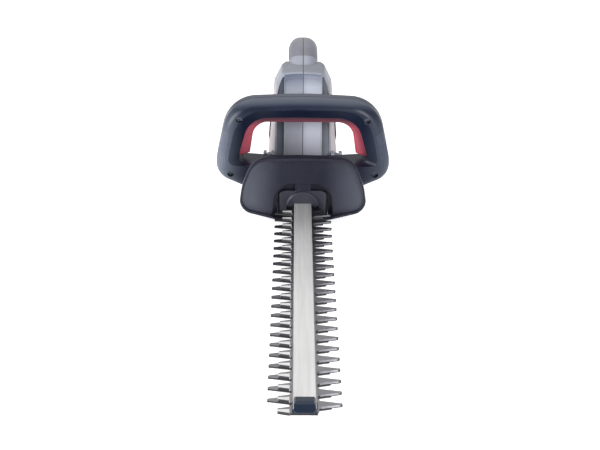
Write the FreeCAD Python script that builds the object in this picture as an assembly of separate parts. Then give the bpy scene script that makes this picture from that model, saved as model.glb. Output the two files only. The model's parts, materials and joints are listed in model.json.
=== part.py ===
"""Mains hedge trimmer with a double-sided, double-acting blade.

Frame: origin on the resting plane, on the axis of the drive gear.
+X to the user's right, -Y towards the blade's tip, +Z up. Millimetres.
"""
import FreeCAD, Part
import math
import os

V = FreeCAD.Vector
X_AXIS = V(1, 0, 0)
Y_AXIS = V(0, 1, 0)
Z_AXIS = V(0, 0, 1)

# ---------------------------------------------------------------- driving dimensions
# Cutting blades
tooth_pitch = 20.0
tooth_count = 22
long_reach = 34.0            # centre line to the tip of a long tooth
short_reach = 24.5           # centre line to the end of a short tooth
spine_half = 11.5            # half width of the blade between its teeth
tooth_root_half = 6.2
tooth_tip_half = 2.3
tooth_root_rise = 2.5        # height of the round root between two teeth
short_end_half = 3.7
short_end_corner = 0.8
blade_thick = 2.2
bevel_height = 1.4           # ground part of the blade's thickness
bevel_width = 1.1
blade_nose = 15.5            # blade beyond its first long tooth
shank_half = 9.5
slide_gap = 0.1              # play between sliding flat faces

# Drive
eccentric_throw = 5.0
eccentric_r = 14.0
yoke_play = 1.15             # room for the circle of the eccentric against a steady slide
yoke_side_play = 0.5
yoke_wall = 5.0
gear_module = 1.0
gear_teeth = 72
pinion_teeth = 11
pressure_angle = 25.0
tooth_addendum = 0.9
tooth_dedendum = 1.25
tooth_backlash = 0.25
gear_width = 7.0
gear_pin_r = 5.0
pin_running_gap = 0.04
bush_wall = 1.5

# Heights of the cutting stack and the gearbox
shear_z = 15.75              # plane between the two blades
cover_thick = 3.0
gear_z = 20.0
roof_z = 31.0
roof_thick = 7.0
gearbox_half = 41.0
gearbox_wall = 3.0
gearbox_nose_half = 31.0
gearbox_front = -97.0
gearbox_shoulder = -50.0
gearbox_back = 64.0
mouth_depth = 9.0

# Support bar and its studs
bar_half = 10.5
bar_thick = 3.5
stud_r = 4.0
stud_head_r = 7.5
stud_head_thick = 2.4
stud_thread_r = 2.2
stud_slot_gap = 0.3
stud_count = 5
stud_spacing = 88.0
tip_cap_length = 19.0
tip_cap_half = 11.5
tip_cap_rise = 5.0

# Guard
guard_y = -100.0
guard_from_teeth = 5.0
guard_plate = 3.5
guard_rim = 2.6
guard_rim_depth = 7.0
guard_dish_r = 420.0
arch_half = 37.5
arch_top = 48.0
arch_floor = 7.0
collar_wall = 2.5
collar_floor = 7.0           # thickness of the collar behind the arch's recess
collar_back = -85.0
nose_top = 37.0
nose_corner = 10.0
nose_block = 22.0            # solid front of the casting that holds the bar
nose_ring_r = 21.0
nose_ring_depth = 3.5
guard_rib_half = 9.3
guard_screw_y = -88.5
guard_screw_z = 20.0

# Front loop handle
loop_front = -55.0
loop_seam = -33.0
loop_back = -11.0
loop_wall = 7.0
loop_round = 13.0
lip_slope_width = 13.0
lip_slope_depth = 9.0
seam_groove = 0.9
saddle_z = 41.5
clamp_x = 43.5
clamp_z = 46.5
clamp_half = 7.0
clamp_top = 53.5
clamp_depth = 11.0
bar_front = -35.0
bar_back = -15.0
bar_slot_gap = 0.5
bar_travel = 5.0

# Body
base_half = 45.0
base_front = -58.0
base_back = 128.0
front_crease = 2.5
deck_z = 149.5
deck_crown_r = 140.0
body_wall = 3.0
panel_half = 24.5
flank_recess = 4.0
flank_thick = 1.4
panel_depth = 0.8
foot_groove = 0.8
foot_groove_depth = 1.5
seam_gap = 0.15

# Rear handle
grip_width = 38.5
grip_height = 34.0
grip_corner = 16.0
grip_wall = 3.0
inlay_thick = 1.6

# Motor
motor_y = gear_module * (gear_teeth + pinion_teeth) / 2.0
stator_half = 24.0
stator_bore_r = 16.6
stator_z0 = 54.0
stator_z1 = 88.0
armature_r = 16.0
shaft_r = 4.0
bearing_r = 11.0
bearing_width = 7.0
fan_r = 23.5
fan_z0 = 41.0
fan_z1 = 50.0

# Trigger and cord inlet
trigger_half = 6.0
trigger_gap = 0.5
trigger_pivot_y = 123.0
trigger_pivot_z = 134.5
trigger_pin_r = 2.0
trigger_pin_reach = 13.0
gland_bore_r = 3.7
gland_seat_r = 8.0
gland_z = 30.0
screw_r = 1.9
screw_head_r = 3.6
boss_r = 4.2

# ---------------------------------------------------------------- derived places
tip_y = guard_y - guard_from_teeth - tooth_pitch * tooth_count
upper_top_z = shear_z + slide_gap / 2 + blade_thick
lower_bottom_z = shear_z - slide_gap / 2 - blade_thick
bar_z0 = upper_top_z + slide_gap
bar_z1 = bar_z0 + bar_thick
bush_r = gear_pin_r + pin_running_gap + bush_wall
half_pitch = tooth_pitch / 2
stroke = 2 * eccentric_throw
first_stud_y = tip_y + 40.0
bar_bolt_ys = [gearbox_front + 18.0, gearbox_front + 42.0]
stud_ys = [first_stud_y + stud_spacing * n for n in range(stud_count)]


# ---------------------------------------------------------------- helpers
def box(x0, x1, y0, y1, z0, z1):
    return Part.makeBox(x1 - x0, y1 - y0, z1 - z0, V(x0, y0, z0))


def cyl(r, start, end):
    axis = end - start
    return Part.makeCylinder(r, axis.Length, start, axis)


def cyl_x(r, y, z, x0, x1):
    return cyl(r, V(x0, y, z), V(x1, y, z))


def cyl_y(r, x, z, y0, y1):
    return cyl(r, V(x, y0, z), V(x, y1, z))


def cyl_z(r, x, y, z0, z1):
    return cyl(r, V(x, y, z0), V(x, y, z1))


def tube_z(r_out, r_in, x, y, z0, z1):
    return cyl_z(r_out, x, y, z0, z1).cut(cyl_z(r_in, x, y, z0 - 1, z1 + 1))


def xy(a, b):
    return V(a, b, 0)


def xz(a, b):
    return V(a, 0, b)


def yz(a, b):
    return V(0, a, b)


def corner_arc(before, corner, after, radius):
    """The two tangent points and the middle point of the arc that rounds a corner."""
    back = (before - corner).normalize()
    ahead = (after - corner).normalize()
    half_turn = (math.pi - back.getAngle(ahead)) / 2
    reach = radius * math.tan(half_turn)
    inward = (back + ahead).normalize()
    middle = corner + inward * (radius / math.cos(half_turn) - radius)
    return corner + back * reach, middle, corner + ahead * reach


def rounded_edges(points, plane, closed=True):
    """Edges through (a, b, radius) corners, with an arc at each corner that has a radius."""
    corners = [plane(a, b) for a, b, r in points]
    count = len(corners)
    arcs = []
    for i, (a, b, radius) in enumerate(points):
        inside = closed or 0 < i < count - 1
        if radius > 0 and inside:
            arcs.append(corner_arc(corners[i - 1], corners[i], corners[(i + 1) % count], radius))
        else:
            arcs.append((corners[i], None, corners[i]))
    edges = []
    for i in range(count):
        start, middle, end = arcs[i]
        if middle is not None:
            edges.append(Part.Arc(start, middle, end).toShape())
        if i == count - 1 and not closed:
            break
        following = arcs[(i + 1) % count][0]
        if end.distanceToPoint(following) > 1e-6:
            edges.append(Part.makeLine(end, following))
    return edges


def rounded_wire(points, plane, closed=True):
    return Part.Wire(rounded_edges(points, plane, closed))


def mirrored(points):
    """Closes a half outline, given from the top or front to the back, over the centre line."""
    other = [(-a, b, r) for a, b, r in reversed(points) if abs(a) > 1e-9]
    return points + other


def prism(points, plane, offset, length):
    """Extrudes an outline along the normal of its plane, from offset, by length."""
    normal = {xy: Z_AXIS, xz: Y_AXIS, yz: X_AXIS}[plane]
    face = Part.Face(rounded_wire(points, plane))
    face.translate(normal * offset)
    return face.extrude(normal * length)


def fuse_all(shapes):
    return shapes[0].multiFuse(shapes[1:]).removeSplitter()


def solid_of(shape):
    """The one solid of a boolean's result, or a compound of them."""
    solids = shape.Solids
    if len(solids) == 1:
        return solids[0]
    return Part.makeCompound(solids)


def half(shape, side):
    """The part of a shape on one side of the clamshell's seam."""
    x0 = seam_gap if side > 0 else -400
    x1 = 400 if side > 0 else -seam_gap
    return shape.common(box(x0, x1, -700, 400, -50, 400))


def export(name, shape):
    solid_of(shape).exportStep("parts/%s.step" % name)


# ---------------------------------------------------------------- blades
def side_edges(first_y, count, reach, is_long, side, inset):
    """Edges of one row of teeth, from the tip towards the gearbox, on side +1 or -1."""
    edges = []
    root = tooth_root_half - inset
    root_x = spine_half + tooth_root_rise
    for n in range(count):
        y = first_y + tooth_pitch * n
        if is_long:
            tip = tooth_tip_half - inset * 0.8
            tip_x = reach - tooth_tip_half
            edges.append(Part.makeLine(V(root_x, y - root, 0), V(tip_x, y - tip, 0)))
            edges.append(Part.Arc(V(tip_x, y - tip, 0), V(reach, y, 0), V(tip_x, y + tip, 0)).toShape())
            edges.append(Part.makeLine(V(tip_x, y + tip, 0), V(root_x, y + root, 0)))
        else:
            tip = short_end_half - inset
            corner_x = reach - short_end_corner
            flat = tip - short_end_corner
            edges.append(Part.makeLine(V(root_x, y - root, 0), V(corner_x, y - tip, 0)))
            edges.append(Part.makeLine(V(corner_x, y - tip, 0), V(reach, y - flat, 0)))
            edges.append(Part.makeLine(V(reach, y - flat, 0), V(reach, y + flat, 0)))
            edges.append(Part.makeLine(V(reach, y + flat, 0), V(corner_x, y + tip, 0)))
            edges.append(Part.makeLine(V(corner_x, y + tip, 0), V(root_x, y + root, 0)))
        if n < count - 1:
            start = V(root_x, y + root, 0)
            low = V(spine_half, y + half_pitch, 0)
            end = V(root_x, y + tooth_pitch - root, 0)
            edges.append(Part.Arc(start, low, end).toShape())
    if side < 0:
        edges = [edge.mirror(V(0, 0, 0), X_AXIS) for edge in edges]
    return edges


def comb_wire(inset, height):
    """Outline of the toothed part of the upper blade, at a height, with its flanks ground back."""
    root = tooth_root_half - inset
    root_x = spine_half + tooth_root_rise
    right_end = tip_y + tooth_pitch * (tooth_count - 1) + root
    left_first = tip_y - half_pitch
    left_end = left_first + tooth_pitch * tooth_count + root
    front = tip_y - blade_nose
    back = left_end + 6.0
    edges = side_edges(tip_y, tooth_count, long_reach, True, 1, inset)
    edges.append(Part.makeLine(V(root_x, right_end, 0), V(spine_half, right_end + 3, 0)))
    edges.append(Part.makeLine(V(spine_half, right_end + 3, 0), V(spine_half, back, 0)))
    edges.append(Part.makeLine(V(spine_half, back, 0), V(-spine_half, back, 0)))
    edges.append(Part.makeLine(V(-spine_half, back, 0), V(-root_x, left_end, 0)))
    edges += side_edges(left_first, tooth_count + 1, short_reach, False, -1, inset)
    edges.append(Part.makeLine(V(-root_x, left_first - root, 0), V(-spine_half, front, 0)))
    edges.append(Part.makeLine(V(-spine_half, front, 0), V(spine_half, front, 0)))
    edges.append(Part.makeLine(V(spine_half, front, 0), V(root_x, tip_y - root, 0)))
    wire = Part.Wire(Part.__sortEdges__(edges))
    wire.translate(V(0, 0, height))
    return wire


def slot_z(x, y0, y1, r, z0, z1):
    """A long hole along Y with round ends centred at y0 and y1."""
    middle = box(x - r, x + r, y0, y1, z0, z1)
    return fuse_all([middle, cyl_z(r, x, y0, z0, z1), cyl_z(r, x, y1, z0, z1)])


def upper_blade():
    """A stamped blade: comb, shank and yoke, with its shear face down."""
    z0 = shear_z + slide_gap / 2
    z1 = z0 + blade_thick
    bevel_z = z1 - bevel_height
    land = Part.Face(comb_wire(0, z0)).extrude(V(0, 0, blade_thick - bevel_height))
    ground = Part.makeLoft([comb_wire(0, bevel_z), comb_wire(bevel_width, z1)], True, True)
    yoke_y = -eccentric_throw
    opening_x = eccentric_r + eccentric_throw + yoke_side_play
    opening_y = eccentric_r + yoke_play
    shank = box(-shank_half, shank_half, guard_y - 12, yoke_y - opening_y, z0, z1)
    yoke_x = opening_x + yoke_wall
    yoke_half = opening_y + yoke_wall
    outer = mirrored([(yoke_x, yoke_y + yoke_half, 12), (yoke_x, yoke_y - yoke_half, 12)])
    inner = mirrored([(opening_x, yoke_y + opening_y, 6), (opening_x, yoke_y - opening_y, 6)])
    yoke = prism(outer, xy, z0, blade_thick)
    blade = fuse_all([land, ground, shank, yoke])
    blade = blade.cut(prism(inner, xy, z0 - 1, blade_thick + 2))
    slot_r = stud_r + stud_slot_gap
    for y in stud_ys + bar_bolt_ys:
        blade = blade.cut(slot_z(0, y - stroke, y, slot_r, z0 - 1, z1 + 1))
    return blade


def lower_blade(upper):
    """The same blade turned over, half a pitch further back."""
    flipped = upper.copy()
    flipped.rotate(V(0, 0, shear_z), Y_AXIS, 180)
    flipped.translate(V(0, stroke, 0))
    return flipped


def support_bar():
    front = tip_y - blade_nose + 2.0
    back = gearbox_front + 55.0
    blank = box(-bar_half, bar_half, front, back, bar_z0, bar_z1)
    top = [e for e in blank.Edges if abs(e.CenterOfMass.z - bar_z1) < 1e-6 and abs(e.CenterOfMass.x) > 1]
    bar = blank.makeFillet(0.9, top)
    for y in stud_ys:
        bar = bar.cut(cyl_z(stud_thread_r, 0, y, bar_z0 - 1, bar_z1 - 0.8))
    for y in bar_bolt_ys:
        bar = bar.cut(cyl_z(stud_thread_r, 0, y, bar_z0 - 1, bar_z1 + 1))
    return bar


def stud(y, top_z):
    """A shoulder stud under the blades: head, shoulder in the slots, threaded end."""
    head_top = lower_bottom_z - slide_gap
    head = cyl_z(stud_head_r, 0, y, head_top - stud_head_thick, head_top)
    low_edge = [e for e in head.Edges if abs(e.CenterOfMass.z - head_top + stud_head_thick) < 1e-6]
    head = head.makeChamfer(0.6, low_edge)
    head = head.cut(hexagon(2.5, 0, y, head_top - stud_head_thick - 1, 2.4))
    shoulder = cyl_z(stud_r, 0, y, head_top, bar_z0)
    thread = cyl_z(stud_thread_r, 0, y, bar_z0, top_z)
    return fuse_all([head, shoulder, thread])


def hexagon(r, x, y, z, height):
    angles = [math.radians(60 * k) for k in range(6)]
    corners = [V(x + r * math.cos(a), y + r * math.sin(a), z) for a in angles]
    return Part.Face(Part.makePolygon(corners + corners[:1])).extrude(V(0, 0, height))


def blade_studs():
    return Part.makeCompound([stud(y, bar_z1 - 0.8) for y in stud_ys])


def bar_bolts():
    return Part.makeCompound([stud(y, roof_z - 1) for y in bar_bolt_ys])


def tip_protector():
    """A moulded cap on the end of the support bar, rounded at its front and top."""
    front = tip_y - blade_nose - 1.0
    back = front + tip_cap_length
    top = bar_z1 + tip_cap_rise
    side = [(front, bar_z0, 0), (front + 0.4, bar_z1 - 1.5, 4), (front + 6.5, top - 0.6, 7), (back - 3.0, top, 4),
            (back, bar_z1, 0), (back, bar_z0, 0)]
    body = prism(side, yz, -tip_cap_half, 2 * tip_cap_half)
    plan = mirrored([(tip_cap_half, back, 5), (tip_cap_half, front, 5)])
    body = body.common(prism(plan, xy, bar_z0, 20))
    section = mirrored([(tip_cap_half, bar_z0, 0), (tip_cap_half, bar_z0 + 1.6, 0), (tip_cap_half - 1.6, bar_z1, 2),
                        (tip_cap_half - 2.8, top, 3.5)])
    body = body.common(prism(section, xz, front - 1, tip_cap_length + 2))
    bar_end = tip_y - blade_nose + 2.0
    return body.cut(box(-bar_half, bar_half, bar_end, back + 1, bar_z0 - 1, bar_z1))


# ---------------------------------------------------------------- gears and eccentrics
def involute_point(base_r, r, turn):
    roll = math.sqrt(max((r / base_r) ** 2 - 1, 0))
    angle = turn + roll - math.atan(roll)
    return V(r * math.cos(angle), r * math.sin(angle), 0)


def gear_blank(teeth, z0, width, phase):
    """A spur gear with involute flanks, centred on the Z axis."""
    pitch_r = gear_module * teeth / 2
    base_r = pitch_r * math.cos(math.radians(pressure_angle))
    tip_r = pitch_r + gear_module * tooth_addendum
    root_r = pitch_r - gear_module * tooth_dedendum
    flat = math.tan(math.radians(pressure_angle)) - math.radians(pressure_angle)
    tooth_half = math.pi / (2 * teeth) - tooth_backlash / (2 * pitch_r)
    start_r = max(base_r, root_r + 0.05)
    edges = []
    first = None
    last = None
    for n in range(teeth):
        centre = phase + 2 * math.pi * n / teeth
        radii = [start_r + (tip_r - start_r) * k / 3 for k in range(4)]
        flank = [involute_point(base_r, r, -tooth_half - flat) for r in radii]
        spin = FreeCAD.Rotation(Z_AXIS, math.degrees(centre))
        left = [spin.multVec(p) for p in flank]
        right = [spin.multVec(V(p.x, -p.y, 0)) for p in flank]
        foot_in = left[0] * (root_r / left[0].Length)
        foot_out = right[0] * (root_r / right[0].Length)
        if last is not None:
            edges.append(root_arc(last, foot_in, root_r))
        else:
            first = foot_in
        edges.append(Part.makeLine(foot_in, left[0]))
        edges.append(spline(left))
        tip_middle = spin.multVec(V(tip_r, 0, 0))
        edges.append(Part.Arc(left[-1], tip_middle, right[-1]).toShape())
        edges.append(spline(list(reversed(right))))
        edges.append(Part.makeLine(right[0], foot_out))
        last = foot_out
    edges.append(root_arc(last, first, root_r))
    blank = Part.Face(Part.Wire(edges)).extrude(V(0, 0, width))
    blank.translate(V(0, 0, z0))
    return blank


def root_arc(start, end, radius):
    middle = (start + end).normalize() * radius
    return Part.Arc(start, middle, end).toShape()


def spline(points):
    curve = Part.BSplineCurve()
    curve.interpolate(points)
    return curve.toShape()


def drive_gear():
    """The large gear: rim, thin web with round windows, and hub."""
    gear = gear_blank(gear_teeth, gear_z, gear_width, 0)
    pitch_r = gear_module * gear_teeth / 2
    web_in = 13.0
    web_out = pitch_r - 4.5
    groove = tube_z(web_out, web_in, 0, 0, gear_z + gear_width - 2.5, gear_z + gear_width + 1)
    gear = gear.cut(groove)
    for k in range(6):
        angle = math.radians(60 * k + 30)
        radius = (web_in + web_out) / 2
        x = radius * math.cos(angle)
        y = radius * math.sin(angle)
        gear = gear.cut(cyl_z(4.5, x, y, gear_z - 1, gear_z + gear_width))
    return gear.cut(cyl_z(bush_r, 0, 0, gear_z - 1, gear_z + gear_width + 1))


def eccentric(direction, z0, z1):
    disc = cyl_z(eccentric_r, 0, direction * eccentric_throw, z0, z1)
    return disc.cut(cyl_z(bush_r, 0, 0, z0 - 1, z1 + 1))


def upper_eccentric():
    return eccentric(-1, shear_z, gear_z)


def lower_eccentric():
    return eccentric(1, lower_bottom_z - 0.6, shear_z)


def gear_bush():
    return tube_z(bush_r, gear_pin_r + pin_running_gap, 0, 0, lower_bottom_z - 0.6, gear_z + gear_width + 1)


def gear_pin():
    foot = cyl_z(9.0, 0, 0, cover_thick, cover_thick + 3)
    pin = cyl_z(gear_pin_r, 0, 0, cover_thick, roof_z + 4)
    return fuse_all([foot, pin])


def gearbox_plan(inset, front):
    straight_end = max(collar_back + 2, front + 8)
    return mirrored([(gearbox_nose_half - inset, front, 5), (gearbox_nose_half - inset, straight_end, 15),
                     (gearbox_half - inset, gearbox_shoulder, 15),
                     (gearbox_half - inset, gearbox_back - 22, 10), (gearbox_half - 16 - inset, gearbox_back - inset, 8)])


def gearbox_form():
    """Outside of the casting: a rounded nose for the guard's collar, widening to the gear's case."""
    roof_top = roof_z + roof_thick
    form = prism(gearbox_plan(0, gearbox_front), xy, cover_thick, roof_top - cover_thick)
    slope = [(gearbox_front - 1, 0, 0), (gearbox_front - 1, nose_top, 0), (gearbox_front + 3, nose_top, 6),
             (base_front - 2, roof_top, 20), (gearbox_back + 1, roof_top, 0), (gearbox_back + 1, 0, 0)]
    form = form.common(prism(slope, yz, -60, 120))
    section = mirrored([(gearbox_half, 0, 0), (gearbox_half, roof_top, 7)])
    form = form.common(prism(section, xz, -120, 240))
    nose = mirrored([(gearbox_nose_half, 0, 0), (gearbox_nose_half, nose_top, nose_corner)])
    nose = prism(nose, xz, gearbox_front - 1, collar_back + 2 - gearbox_front)
    return form.common(nose.fuse(box(-60, 60, collar_back + 0.5, gearbox_back + 1, 0, 60)))


def gearbox_housing():
    """Cast housing over the gear: roof, skirt, pad for the support bar and bearing seats."""
    roof_top = roof_z + roof_thick
    outer = gearbox_form()
    cavity = prism(gearbox_plan(gearbox_wall, gearbox_front + nose_block), xy, 0, roof_z)
    pad_back = gearbox_front + 55.5
    pad = box(-bar_half - 3, bar_half + 3, gearbox_front + nose_block - 2, pad_back, bar_z1, roof_z)
    casting = outer.cut(cavity.cut(pad))
    over_teeth = upper_top_z + 0.6
    ring = cyl_y(nose_ring_r, 0, shear_z, gearbox_front - nose_ring_depth, gearbox_front + 1)
    ring_front = gearbox_front - nose_ring_depth
    ring = ring.makeChamfer(1.5, [e for e in ring.Edges if abs(e.CenterOfMass.y - ring_front) < 1e-6])
    ring = ring.common(box(-60, 60, gearbox_front - 10, gearbox_front + 2, over_teeth, nose_top))
    casting = casting.fuse(ring)
    channel_top = bar_z1 + 0.02
    channel = box(-bar_half - 0.3, bar_half + 0.3, gearbox_front - 10, gearbox_front + nose_block + 1,
                  lower_bottom_z - 4, channel_top)
    mouth = box(-20, 20, gearbox_front - 1, gearbox_front + mouth_depth, lower_bottom_z - 5, over_teeth)
    casting = casting.cut(channel)
    casting = casting.cut(mouth)
    for side in (-1, 1):
        pilot = cyl_x(screw_r, guard_screw_y, guard_screw_z, side * (gearbox_nose_half - 8), side * 60)
        casting = casting.cut(pilot)
    casting = casting.cut(cyl_z(bearing_r, 0, motor_y, roof_z - 1, roof_top + 1))
    casting = casting.cut(cyl_z(gear_pin_r, 0, 0, roof_z - 1, roof_z + 4))
    for y in bar_bolt_ys:
        casting = casting.cut(cyl_z(stud_thread_r, 0, y, bar_z1 - 1, roof_z - 1))
    for x, y in cover_screw_places():
        boss = cyl_z(4.5, x, y, cover_thick, roof_z).common(outer)
        casting = casting.fuse(boss)
        casting = casting.cut(cyl_z(screw_r, x, y, cover_thick - 1, cover_thick + 14))
    return casting.removeSplitter()


def cover_screw_places():
    places = []
    for side in (-1, 1):
        places.append((side * (gearbox_nose_half - 6.5), gearbox_front + nose_block - 5))
        places.append((side * (gearbox_half - 4.5), gearbox_shoulder + 4))
        places.append((side * (gearbox_half - 5.5), gearbox_back - 24))
    return places


def gearbox_cover():
    """Flat plate that closes the gearbox from below: the trimmer rests on it."""
    plate = prism(gearbox_plan(0.5, gearbox_front + 0.5), xy, 0, cover_thick)
    bottom = [e for e in plate.Edges if abs(e.CenterOfMass.z) < 1e-6]
    plate = plate.makeChamfer(0.8, bottom)
    for x, y in cover_screw_places():
        plate = plate.cut(cyl_z(screw_r + 0.2, x, y, -1, cover_thick + 1))
        plate = plate.cut(Part.makeCone(screw_head_r + 0.1, screw_r + 0.2, 2.0, V(x, y, 0)))
    return plate


def cover_screws():
    screws = []
    for x, y in cover_screw_places():
        head = Part.makeCone(screw_head_r, screw_r, 1.9, V(x, y, 0.1))
        shank = cyl_z(screw_r, x, y, 1.5, cover_thick + 13)
        cross = box(x - 0.4, x + 0.4, y - 1.8, y + 1.8, -1, 1.0)
        cross = cross.fuse(box(x - 1.8, x + 1.8, y - 0.4, y + 0.4, -1, 1.0))
        screws.append(fuse_all([head, shank]).cut(cross))
    return Part.makeCompound(screws)


# ---------------------------------------------------------------- motor
def pinion():
    gear = gear_blank(pinion_teeth, gear_z - 0.5, gear_width + 1.5, math.pi / 2)
    gear.translate(V(0, motor_y, 0))
    return gear.cut(cyl_z(shaft_r - 0.8, 0, motor_y, gear_z - 2, gear_z + gear_width + 3))


def motor_shaft():
    lower = cyl_z(shaft_r - 0.8, 0, motor_y, gear_z - 0.5, roof_z - 1)
    upper = cyl_z(shaft_r, 0, motor_y, roof_z - 1, stator_z1 + 26)
    return fuse_all([lower, upper])


def bearing(y, z0, r_out, r_in, width):
    """A closed ball bearing: two rings and a shield between them."""
    wall = (r_out - r_in) * 0.28
    rings = tube_z(r_out, r_out - wall, 0, y, z0, z0 + width)
    inner = tube_z(r_in + wall, r_in, 0, y, z0, z0 + width)
    shield = tube_z(r_out - wall, r_in + wall, 0, y, z0 + 0.5, z0 + width - 0.5)
    return fuse_all([rings, inner, shield])


def lower_bearing():
    return bearing(motor_y, roof_z, bearing_r, shaft_r + pin_running_gap, bearing_width)


def upper_bearing():
    return bearing(motor_y, stator_z1 + 18, 9.5, shaft_r + pin_running_gap, 6.0)


def stator():
    """Laminated field stack with two poles around the armature."""
    outline = mirrored([(stator_half, motor_y + stator_half, 8), (stator_half, motor_y - stator_half, 8)])
    stack = prism(outline, xy, stator_z0, stator_z1 - stator_z0)
    stack = stack.cut(cyl_z(stator_bore_r, 0, motor_y, stator_z0 - 1, stator_z1 + 1))
    for side in (-1, 1):
        x0 = min(side * 11.0, side * 20.0)
        stack = stack.cut(box(x0, x0 + 9, motor_y - 11, motor_y + 11, stator_z0 - 1, stator_z1 + 1))
    return stack


def field_coils():
    coils = []
    for side in (-1, 1):
        x0 = min(side * 17.2, side * 19.8)
        middle = box(x0, x0 + 2.6, motor_y - 10.8, motor_y + 10.8, stator_z0 - 3.5, stator_z1 + 4)
        coils.append(middle.makeFillet(1.2, [e for e in middle.Edges if abs(e.tangentAt(e.FirstParameter).z) < 0.1]))
    return Part.makeCompound(coils)


def armature():
    """Slotted lamination core with its windings, pressed on the shaft."""
    core = tube_z(armature_r, shaft_r, 0, motor_y, stator_z0, stator_z1)
    for k in range(12):
        angle = math.radians(30 * k)
        slot = box(armature_r - 3.0, armature_r + 1, -0.9, 0.9, stator_z0 - 1, stator_z1 + 1)
        slot.rotate(V(0, 0, 0), Z_AXIS, math.degrees(angle))
        slot.translate(V(0, motor_y, 0))
        core = core.cut(slot)
    return core


def armature_windings():
    rings = []
    for z0, z1 in ((stator_z0 - 3, stator_z0), (stator_z1, stator_z1 + 5)):
        ring = tube_z(armature_r - 2, shaft_r, 0, motor_y, z0, z1)
        middle = (z0 + z1) / 2
        edge = [e for e in ring.Edges if e.Length > 6.3 * (armature_r - 3) and abs(e.CenterOfMass.z - middle) > 0.4]
        rings.append(ring.makeFillet(1.2, edge))
    return Part.makeCompound(rings)


def commutator():
    z0 = stator_z1 + 5.5
    ring = tube_z(9.5, shaft_r, 0, motor_y, z0, z0 + 9)
    for k in range(12):
        slit = box(8.3, 10.5, -0.25, 0.25, z0 - 1, z0 + 10)
        slit.rotate(V(0, 0, 0), Z_AXIS, 30 * k + 15)
        slit.translate(V(0, motor_y, 0))
        ring = ring.cut(slit)
    return ring


def carbon_brushes():
    z = stator_z1 + 10
    brushes = []
    for side in (-1, 1):
        x0 = min(side * 9.9, side * 19.9)
        brushes.append(box(x0, x0 + 10, motor_y - 2.5, motor_y + 2.5, z - 3, z + 3))
    return Part.makeCompound(brushes)


def brush_holders():
    z = stator_z1 + 10
    holders = []
    for side in (-1, 1):
        x0 = min(side * 12.0, side * 27.0)
        sleeve = box(x0, x0 + 15, motor_y - 4.5, motor_y + 4.5, z - 5, z + 5)
        inner0 = min(side * 11.0, side * 25.5)
        sleeve = sleeve.cut(box(inner0, inner0 + 14.5, motor_y - 2.5, motor_y + 2.5, z - 3, z + 3))
        holders.append(sleeve)
    return Part.makeCompound(holders)


def fan():
    """Cooling fan: a disc with upright blades round a hub."""
    disc = cyl_z(fan_r, 0, motor_y, fan_z0, fan_z0 + 1.6)
    hub = cyl_z(7.5, 0, motor_y, fan_z0, fan_z1)
    pieces = [disc, hub]
    for k in range(11):
        vane = box(7.0, fan_r - 0.4, -0.7, 0.7, fan_z0 + 1, fan_z1 - 0.5)
        vane.rotate(V(9, 0, 0), Z_AXIS, 20)
        vane.rotate(V(0, 0, 0), Z_AXIS, 360.0 * k / 11)
        vane.translate(V(0, motor_y, 0))
        pieces.append(vane)
    wheel = fuse_all(pieces).common(cyl_z(fan_r, 0, motor_y, fan_z0, fan_z1))
    return wheel.cut(cyl_z(shaft_r, 0, motor_y, fan_z0 - 1, fan_z1 + 1))


def motor_bracket():
    """Bridge that holds the stator's top and the upper bearing."""
    z0 = stator_z1 + 18
    bridge = mirrored([(30, motor_y + 9, 4), (30, motor_y - 9, 4)])
    top = prism(bridge, xy, z0, 6.0)
    ring = cyl_z(13.0, 0, motor_y, z0, z0 + 6)
    pieces = [top, ring]
    for side in (-1, 1):
        x0 = min(side * 28.0, side * 30.0)
        pieces.append(box(x0, x0 + 2.0, motor_y - 9, motor_y + 9, stator_z1 + 1, z0 + 1))
        x1 = min(side * 20.0, side * 30.0)
        pieces.append(box(x1, x1 + 10.0, motor_y - 9, motor_y + 9, stator_z1, stator_z1 + 2.5))
    bracket = fuse_all(pieces)
    return bracket.cut(cyl_z(9.5, 0, motor_y, z0 - 1, z0 + 7))


# ---------------------------------------------------------------- guard
def guard_outline():
    return mirrored([(0, 85.2, 500), (60.0, 83.8, 27), (74.2, 48.0, 60), (78.6, 17.0, 18), (28.0, 3.8, 90),
                     (0, 1.6, 200)])


def arch_outline(half_width, top, floor, radius):
    return mirrored([(half_width - 3, top, radius), (half_width, floor, 3)])


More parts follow.
